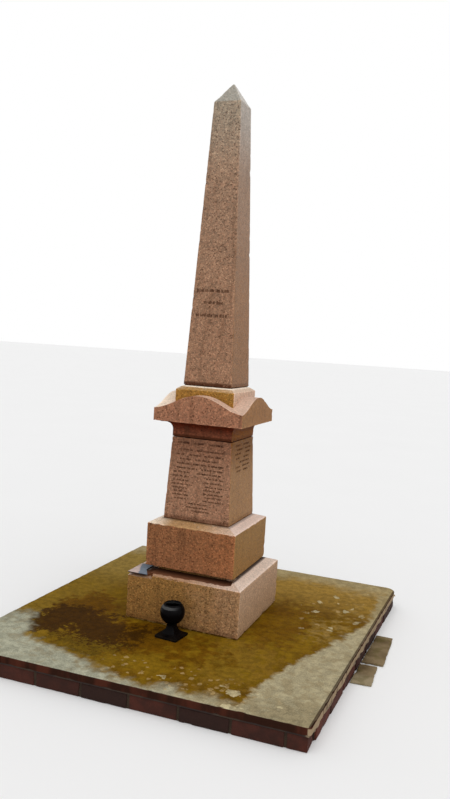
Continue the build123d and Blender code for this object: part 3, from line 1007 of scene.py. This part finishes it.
# The near-white band above pale_above is a painted highlight along the top of the neck.
finish_granite(
    neck, "neck_axed", "neck_plinth", "neck_granite", heights=(1.2, 1.28), roughness=0.6,
    front=((155, 114, 53), (158, 117, 56)), side=((205, 172, 148), (215, 184, 162)),
    top=((173, 135, 86), (214, 188, 166)), pale_above=1.3,
)

# Shaft: one long tapering stone of polished granite, its tip a low pyramid worn blunt. Its upper part is
# greyer from the rain and painted paler as lit by the sky, and its right faces are painted lighter than its
# front, as lit faces. Three rows of dark strokes stand on its front, as plain as those on the die.
shaft_foot_z = 1.31
shaft_stations = ((0.131, shaft_foot_z), (0.073, 2.73), (0.004, 2.834))
shaft = dressed_stone(shaft_stations, arris=0.0025, chip=0.004, waviness=0.0004, seed=9, cell=0.014)
finish_granite(
    shaft, "shaft_tapered", "shaft", "shaft_granite", heights=(1.5, 2.6, 2.3, 2.8), roughness=0.4,
    front=((149, 114, 90), (156, 142, 124)), side=((142, 105, 75), (177, 169, 160)),
    top=((158, 154, 144), (197, 192, 185)), damp=(shaft_foot_z, 0.024, 0.9),
)
shaft_strokes = bmesh.new()
shaft_rows = [
    (1.79, 0.02, 0.8, (-0.093, 0.083)),
    (1.73, 0.02, 0.75, (-0.05, 0.055)),
    (1.665, 0.022, 0.8, (-0.09, 0.083)),
]
add_strokes(shaft_strokes, shaft_stations, shaft_rows, dice, 0.0)
finish_piece(shaft_strokes, "shaft_strokes", [stroke_paint], "shaft_granite")

# Urn: a small memorial urn in gloss black that stands before the lower block, turned a little from square.
# Its foot is a square plate, its stem a hollow-sided square under a collar, and its bowl is spun and open.
slab_top_z = 0.108
urn_middle, urn_turn, urn_arc_steps = (0.001, -0.405, slab_top_z), math.radians(-6), 12
urn_place = Matrix.Translation(urn_middle) @ Matrix.Rotation(urn_turn, 4, "Z")
urn_foot_half, urn_foot_height = 0.06, 0.01
urn_foot_corner, urn_foot_arris, urn_stem_arris, urn_collar_arris = 0.006, 0.0015, 0.003, 0.0018
urn_stem_high, urn_waist_half, urn_flare_half = 0.058, 0.019, 0.056
urn_collar_radius, urn_collar_high, urn_highlight_z = 0.023, 0.064, 0.258


def urn_material():
    place = start_material("gloss_black")
    x, _, z = place.parts()
    scuff = place.cloud(70.0, 4.0).rise(0.56, 0.72)
    dust = place.cloud(25.0).rise(0.35, 0.7) * (z - slab_top_z).rise(0.03, 0.0)
    # A grey band round the shoulder of the bowl is a painted highlight, the reflection of the sky, brighter
    # on the left.
    highlight_band = (abs(z - urn_highlight_z) - place.cloud(40.0) * 0.008).rise(0.004, 0.0)
    colour = (scuff * 0.2).blend((5, 3, 4), (30, 26, 26)).tinted((44, 34, 22), dust, 0.3)
    colour = colour.tinted((76, 76, 76), highlight_band * x.rise(0.052, 0.01), 0.8)
    roughness = 0.3 + scuff * 0.25 + dust * 0.3
    return finish_material(colour, roughness, place.cloud(45.0), 0.0012, specular=0.04)


def finish_urn_piece(bm, name, node):
    """Turns and moves a piece of the urn to where it stands, and finishes it."""
    bmesh.ops.transform(bm, matrix=urn_place, verts=bm.verts[:])
    finish_piece(bm, name, [gloss_black], "urn_black", node)


gloss_black = urn_material()
urn_foot = bmesh.new()
add_block(urn_foot, (-urn_foot_half, -urn_foot_half, 0.0), (urn_foot_half, urn_foot_half, urn_foot_height))
bevel(urn_foot, upright_edges(urn_foot), urn_foot_corner, 4)
bevel(urn_foot, edges_at(urn_foot, urn_foot_height), urn_foot_arris, 2)
finish_urn_piece(urn_foot, "urn_foot_plate", "urn_foot")

urn_stem = bmesh.new()
waist = (urn_waist_half, urn_stem_high)
pull_up(urn_stem, arc_points(waist, (urn_flare_half, urn_foot_height), urn_arc_steps)[::-1] + [waist])
arrises = [edge for edge in upright_edges(urn_stem) if edge.calc_face_angle(0.0) > 0.9]
bevel(urn_stem, arrises, urn_stem_arris, 3)
collar = bmesh.ops.create_cone(
    urn_stem, cap_ends=True, segments=64, radius1=urn_collar_radius, radius2=urn_collar_radius,
    depth=urn_collar_high - urn_stem_high,
    matrix=Matrix.Translation((0, 0, (urn_stem_high + urn_collar_high) / 2)),
)["verts"]
collar_edges = {edge for vert in collar for edge in vert.link_edges if edge.calc_face_angle(0.0) > 0.9}
bevel(urn_stem, list(collar_edges), urn_collar_arris, 3)
finish_urn_piece(urn_stem, "urn_stem_flared", "urn_stem")

urn_floor_z, urn_belly_z, urn_rim_z = 0.073, 0.118, 0.162
urn_belly_radius, urn_mouth_radius, urn_wall = 0.06, 0.043, 0.004
belly = (urn_belly_radius, urn_belly_z)
inner_belly = (urn_belly_radius - urn_wall, urn_belly_z)
seat = (urn_collar_radius, urn_collar_high)
inner_seat = (urn_collar_radius - urn_wall, urn_floor_z)
mouth = (urn_mouth_radius, urn_rim_z - urn_wall / 2)
inner_mouth = (urn_mouth_radius - urn_wall, urn_rim_z - urn_wall / 2)
rim_top = (urn_mouth_radius - urn_wall / 2, urn_rim_z)
under, over = arc_points(belly, seat, urn_arc_steps), arc_points(belly, mouth, urn_arc_steps)
inside_over = arc_points(inner_belly, inner_mouth, urn_arc_steps)
inside_under = arc_points(inner_belly, inner_seat, urn_arc_steps)
outline = [(0.0, urn_collar_high), *under[::-1], belly, *over, rim_top]
outline += [*inside_over[::-1], inner_belly, *inside_under, (0.0, urn_floor_z)]
urn_bowl = bmesh.new()
profile = [urn_bowl.verts.new((radius, 0.0, level)) for radius, level in outline]
profile_edges = [urn_bowl.edges.new(pair) for pair in zip(profile, profile[1:])]
bmesh.ops.spin(
    urn_bowl, geom=profile + profile_edges, cent=(0, 0, 0), axis=(0, 0, 1), angle=math.tau, steps=96,
    use_merge=True,
)
bmesh.ops.remove_doubles(urn_bowl, verts=urn_bowl.verts[:], dist=1e-6)
finish_urn_piece(urn_bowl, "urn_bowl_spun", "urn_bowl")

# Stage: a plain pale floor under an overcast sky, with the brightest part of the sky above and to the right
# of the front, and the camera at the eye of someone who stands a little to the right of the front.
sky_strength, haze_strength, haze_width = 0.55, 1.7, 1.5
haze_from = Vector((0.35, -0.45, 0.82))
camera_place = (1.4226, -3.5483, 1.5501)
camera_turn, camera_pitch, camera_roll = 0.3689, -0.0816, 0.0587
floor_reach = 60.0
floor_mesh = bmesh.new()
bmesh.ops.create_grid(floor_mesh, x_segments=1, y_segments=1, size=floor_reach)
floor_data = bpy.data.meshes.new("floor")
floor_mesh.to_mesh(floor_data)
floor_mesh.free()
floor = add_object("floor", floor_data)
floor_dust = start_material("pale_floor").cloud(1.0, 1.0)
floor_colour = floor_dust.blend((0.86, 0.86, 0.86, 1.0), (0.88, 0.88, 0.88, 1.0))
floor_data.materials.append(finish_material(floor_colour, 0.92 + floor_dust * 0.06, floor_dust, 0.0))

world = bpy.data.worlds.new("studio")
bpy.context.scene.world = world
world.use_nodes = True
background = world.node_tree.nodes["Background"]
camera_ray = Wire(world, None).node("ShaderNodeLightPath", {}, {}, "Is Camera Ray")
seen_white = camera_ray.maths("MAXIMUM", camera_ray.other("Is Glossy Ray"))
seen_white = seen_white.maths("MAXIMUM", camera_ray.other("Is Transmission Ray"))
strength = sky_strength + seen_white * (1.0 - sky_strength)
background.inputs["Color"].default_value = (1.0, 1.0, 1.0, 1.0)
world.node_tree.links.new(strength.socket, background.inputs["Strength"])

haze = bpy.data.lights.new("haze", "SUN")
haze.energy = haze_strength
haze.angle = haze_width
add_object("haze", haze).rotation_euler = haze_from.to_track_quat("Z", "Y").to_euler()

camera_data = bpy.data.cameras.new("camera")
camera_data.lens = 33.05
camera = add_object("camera", camera_data)
turned = Matrix.Rotation(camera_turn, 4, "Z") @ Matrix.Rotation(math.pi / 2 + camera_pitch, 4, "X")
turned = turned @ Matrix.Rotation(camera_roll, 4, "Z")
camera.matrix_world = Matrix.Translation(camera_place) @ turned
bpy.context.scene.camera = camera
bpy.context.scene.view_settings.view_transform = "Standard"
